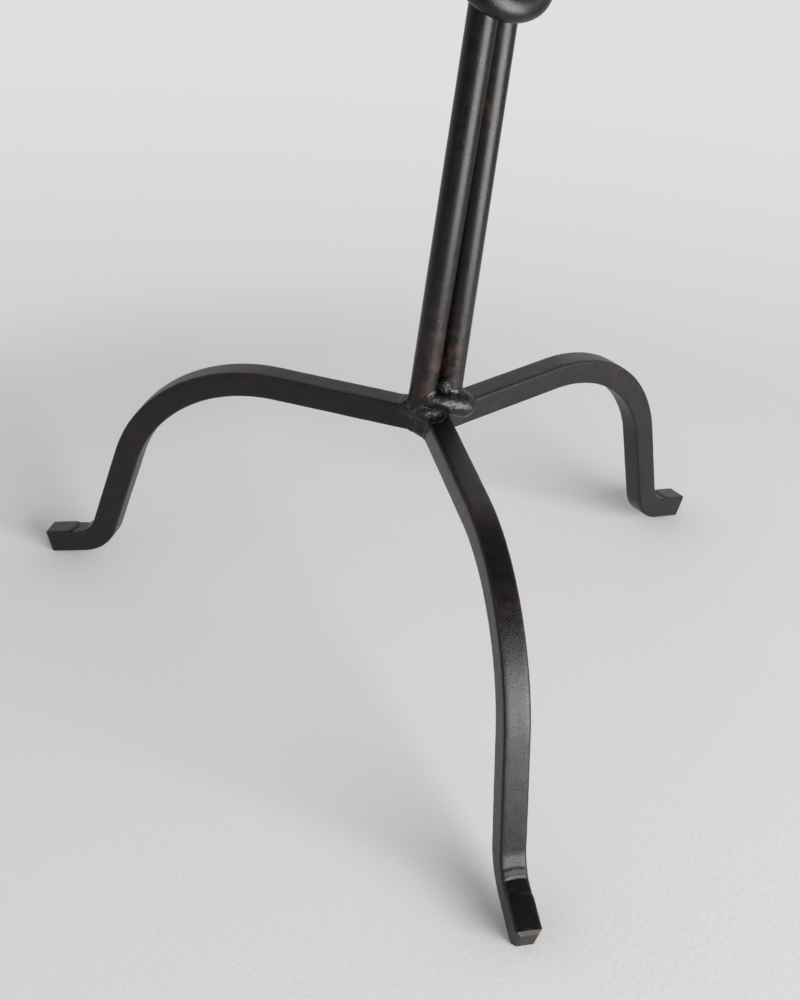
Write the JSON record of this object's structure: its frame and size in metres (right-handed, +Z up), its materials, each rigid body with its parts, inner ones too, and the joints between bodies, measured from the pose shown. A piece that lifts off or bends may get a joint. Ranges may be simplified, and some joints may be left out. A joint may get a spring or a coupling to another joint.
{
  "type": "candle stand",
  "caption": "Black iron candle stand: three bent bar legs welded to a pair of round rods with a ring for a knop, topped by a drip pan and a cup for a taper candle.",
  "frame": {"origin": "on the floor, straight under the point where the three arms meet", "axes": "+Z up along the stem, -Y towards the front leg, +X to the right"},
  "size_m": [0.2927, 0.2473, 0.6652],
  "materials": {
    "black_paint": "satin black paint on forged bar, a little worn on the edges",
    "rubbed_paint": "satin black paint rubbed through to oxide brown",
    "weld_paint": "glossy black paint over weld beads",
    "bare_steel": "plain steel"
  },
  "bodies": {
    "root": {"leg_front": "black_paint", "leg_left": "black_paint", "leg_right": "black_paint", "rod_lower_left": "rubbed_paint", "rod_lower_right": "rubbed_paint", "rod_foot_weld_left": "weld_paint", "rod_foot_weld_right": "weld_paint", "hub_bead_right": "weld_paint", "hub_bead_left": "weld_paint", "hub_bead_back": "weld_paint", "hub_bead_under": "weld_paint", "spatter_nugget": "weld_paint", "knop": "rubbed_paint", "knop_weld_lower": "weld_paint", "knop_weld_upper": "weld_paint", "rod_upper_left": "black_paint", "rod_upper_right": "black_paint", "head_boss": "black_paint", "boss_weld": "weld_paint", "head_stud": "bare_steel", "drip_pan": "black_paint", "candle_cup": "black_paint"}
  },
  "joints": []
}
